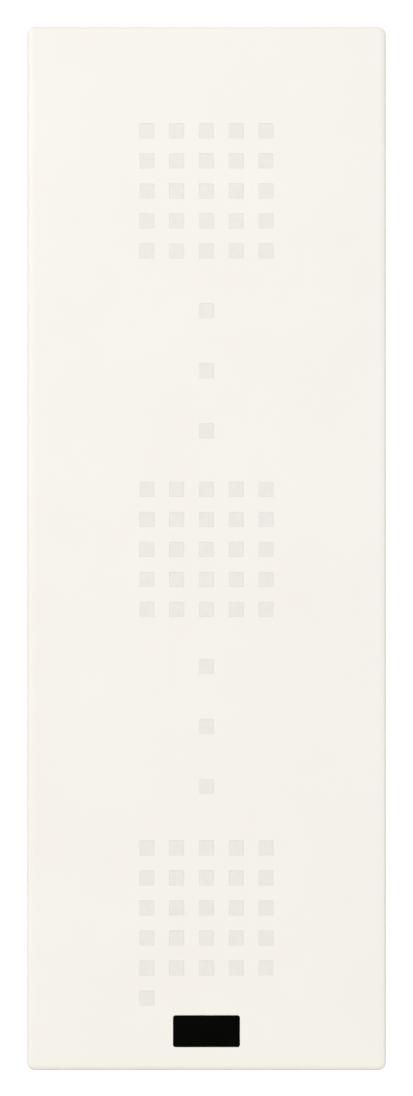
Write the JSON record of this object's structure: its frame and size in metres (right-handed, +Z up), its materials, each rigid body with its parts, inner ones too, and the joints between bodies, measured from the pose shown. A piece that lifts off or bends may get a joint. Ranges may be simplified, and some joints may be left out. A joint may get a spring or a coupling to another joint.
{
  "type": "video doorbell",
  "caption": "Slim wall-mounted video doorbell: cream hinged cover with flush light-window touch fields and a dark camera window, over a back box with camera, speaker and terminals.",
  "frame": {"origin": "on the wall plane, behind the middle of the front cover", "axes": "+Z up the wall, +Y into the wall, so the front face looks along -Y; +X to the right seen from the front"},
  "size_m": [0.072, 0.024, 0.209],
  "materials": {
    "cream_plastic": "fine satin",
    "light_guide_plastic": "translucent satin",
    "window_acrylic": "gloss",
    "copper_film": "satin foil",
    "black_rubber": "matt",
    "foam": "open-cell matt",
    "mesh_fabric": "fine woven",
    "stainless_steel": "brushed",
    "zinc_steel": "bright zinc",
    "box_plastic": "moulded satin",
    "board_laminate": "solder mask",
    "diode_resin": "clear resin over phosphor",
    "white_plastic": "moulded matt",
    "chip_resin": "moulded resin",
    "tinned_steel": "satin",
    "ferrite": "pressed ferrite",
    "capacitor_can": "drawn",
    "relay_plastic": "moulded",
    "amber_film": "polyimide",
    "dark_plastic": "moulded satin",
    "painted_steel": "powder coat",
    "magnet_metal": "ground",
    "cone_paper": "pressed pulp",
    "green_plastic": "moulded satin",
    "contact_brass": "tinned brass",
    "orange_plastic": "moulded satin",
    "infrared_resin": "dark clear resin",
    "lens_glass": "coated",
    "black_anodised": "anodised"
  },
  "bodies": {
    "base": {"back_plate": "box_plastic", "box_frame": "box_plastic", "board_standoffs": "contact_brass", "hinge_bracket": "zinc_steel", "screw_lugs": "zinc_steel", "wall_gasket": "foam", "rim_seal": "black_rubber", "cable_grommet": "black_rubber", "hinge_pins": "stainless_steel", "main_board": "board_laminate", "internal_screws": "zinc_steel", "light_diodes": "diode_resin", "light_boxes": "white_plastic", "touch_contacts": "stainless_steel", "processor": "chip_resin", "memory_chips": "chip_resin", "network_shield": "tinned_steel", "power_inductors": "ferrite", "capacitors": "capacitor_can", "door_relay": "relay_plastic", "camera_connector": "white_plastic", "camera_ribbon": "amber_film", "speaker_cradle": "dark_plastic", "speaker_frame": "painted_steel", "speaker_magnet": "magnet_metal", "speaker_surround": "black_rubber", "speaker_gasket": "foam", "microphone": "tinned_steel", "microphone_boot": "black_rubber", "terminal_header": "green_plastic", "terminal_pins": "contact_brass", "camera_bracket": "dark_plastic", "infrared_leds": "infrared_resin", "tamper_switch": "chip_resin", "setup_switch": "tinned_steel"},
    "cover": {"front_cover": "cream_plastic", "top_light_guide": "light_guide_plastic", "middle_light_guide": "light_guide_plastic", "bottom_light_guide": "light_guide_plastic", "upper_link_light_guide": "light_guide_plastic", "lower_link_light_guide": "light_guide_plastic", "touch_electrodes": "copper_film", "camera_window": "window_acrylic", "window_gasket": "black_rubber", "acoustic_mesh": "mesh_fabric"},
    "cover_screw_left": {"cover_screw_left": "stainless_steel"},
    "cover_screw_right": {"cover_screw_right": "stainless_steel"},
    "camera_yoke": {"camera_yoke": "dark_plastic"},
    "camera_head": {"camera_head": "dark_plastic", "lens_barrel": "black_anodised", "lens": "lens_glass", "sensor_board": "board_laminate"},
    "speaker_cone": {"speaker_cone": "cone_paper"},
    "tamper_plunger": {"tamper_plunger": "white_plastic"},
    "setup_button": {"setup_button": "chip_resin"},
    "terminal_plug": {"terminal_plug": "green_plastic"},
    "terminal_lever_1": {"terminal_lever_1": "orange_plastic"},
    "terminal_lever_2": {"terminal_lever_2": "orange_plastic"},
    "terminal_lever_3": {"terminal_lever_3": "orange_plastic"},
    "terminal_lever_4": {"terminal_lever_4": "orange_plastic"}
  },
  "joints": [
    {"name": "cover_swing", "type": "hinge", "parent": "base", "child": "cover", "pos_m": [0, -0.006, 0.099], "axis": [-1, 0, 0], "range_deg": [0, 40]},
    {"name": "cover_screw_left_turn", "type": "hinge", "parent": "cover", "child": "cover_screw_left", "pos_m": [-0.027, -0.008, -0.1], "axis": [0, 0, 1], "continuous": true},
    {"name": "cover_screw_right_turn", "type": "hinge", "parent": "cover", "child": "cover_screw_right", "pos_m": [0.027, -0.008, -0.1], "axis": [0, 0, 1], "continuous": true},
    {"name": "camera_pan", "type": "hinge", "parent": "base", "child": "camera_yoke", "pos_m": [0, -0.016, -0.09], "axis": [0, 0, 1], "range_deg": [-12, 12]},
    {"name": "camera_tilt", "type": "hinge", "parent": "camera_yoke", "child": "camera_head", "pos_m": [0, -0.016, -0.0965], "axis": [1, 0, 0], "range_deg": [-12, 12]},
    {"name": "speaker_travel", "type": "slide", "parent": "base", "child": "speaker_cone", "axis": [0, -1, 0], "range_m": [-0.0004, 0.0004], "stiffness_N_per_m": 100},
    {"name": "tamper_travel", "type": "slide", "parent": "base", "child": "tamper_plunger", "axis": [0, -1, 0], "range_m": [0, 0.0012]},
    {"name": "setup_press", "type": "slide", "parent": "base", "child": "setup_button", "axis": [0, 1, 0], "range_m": [0, 0.0004], "stiffness_N_per_m": 300, "springref_m": -0.0003},
    {"name": "plug_slide", "type": "slide", "parent": "base", "child": "terminal_plug", "axis": [-1, 0, 0], "range_m": [0, 0.008]},
    {"name": "terminal_lever_1_lift", "type": "hinge", "parent": "terminal_plug", "child": "terminal_lever_1", "pos_m": [-0.009, -0.0136, 0.0298], "axis": [0, 0, 1], "range_deg": [0, 80]},
    {"name": "terminal_lever_2_lift", "type": "hinge", "parent": "terminal_plug", "child": "terminal_lever_2", "pos_m": [-0.009, -0.0136, 0.0336], "axis": [0, 0, 1], "range_deg": [0, 80]},
    {"name": "terminal_lever_3_lift", "type": "hinge", "parent": "terminal_plug", "child": "terminal_lever_3", "pos_m": [-0.009, -0.0136, 0.0374], "axis": [0, 0, 1], "range_deg": [0, 80]},
    {"name": "terminal_lever_4_lift", "type": "hinge", "parent": "terminal_plug", "child": "terminal_lever_4", "pos_m": [-0.009, -0.0136, 0.0412], "axis": [0, 0, 1], "range_deg": [0, 80]}
  ],
  "couplings": [
    {"joint": "tamper_travel", "follows": "cover_swing", "m_per_rad": 0.0017}
  ]
}
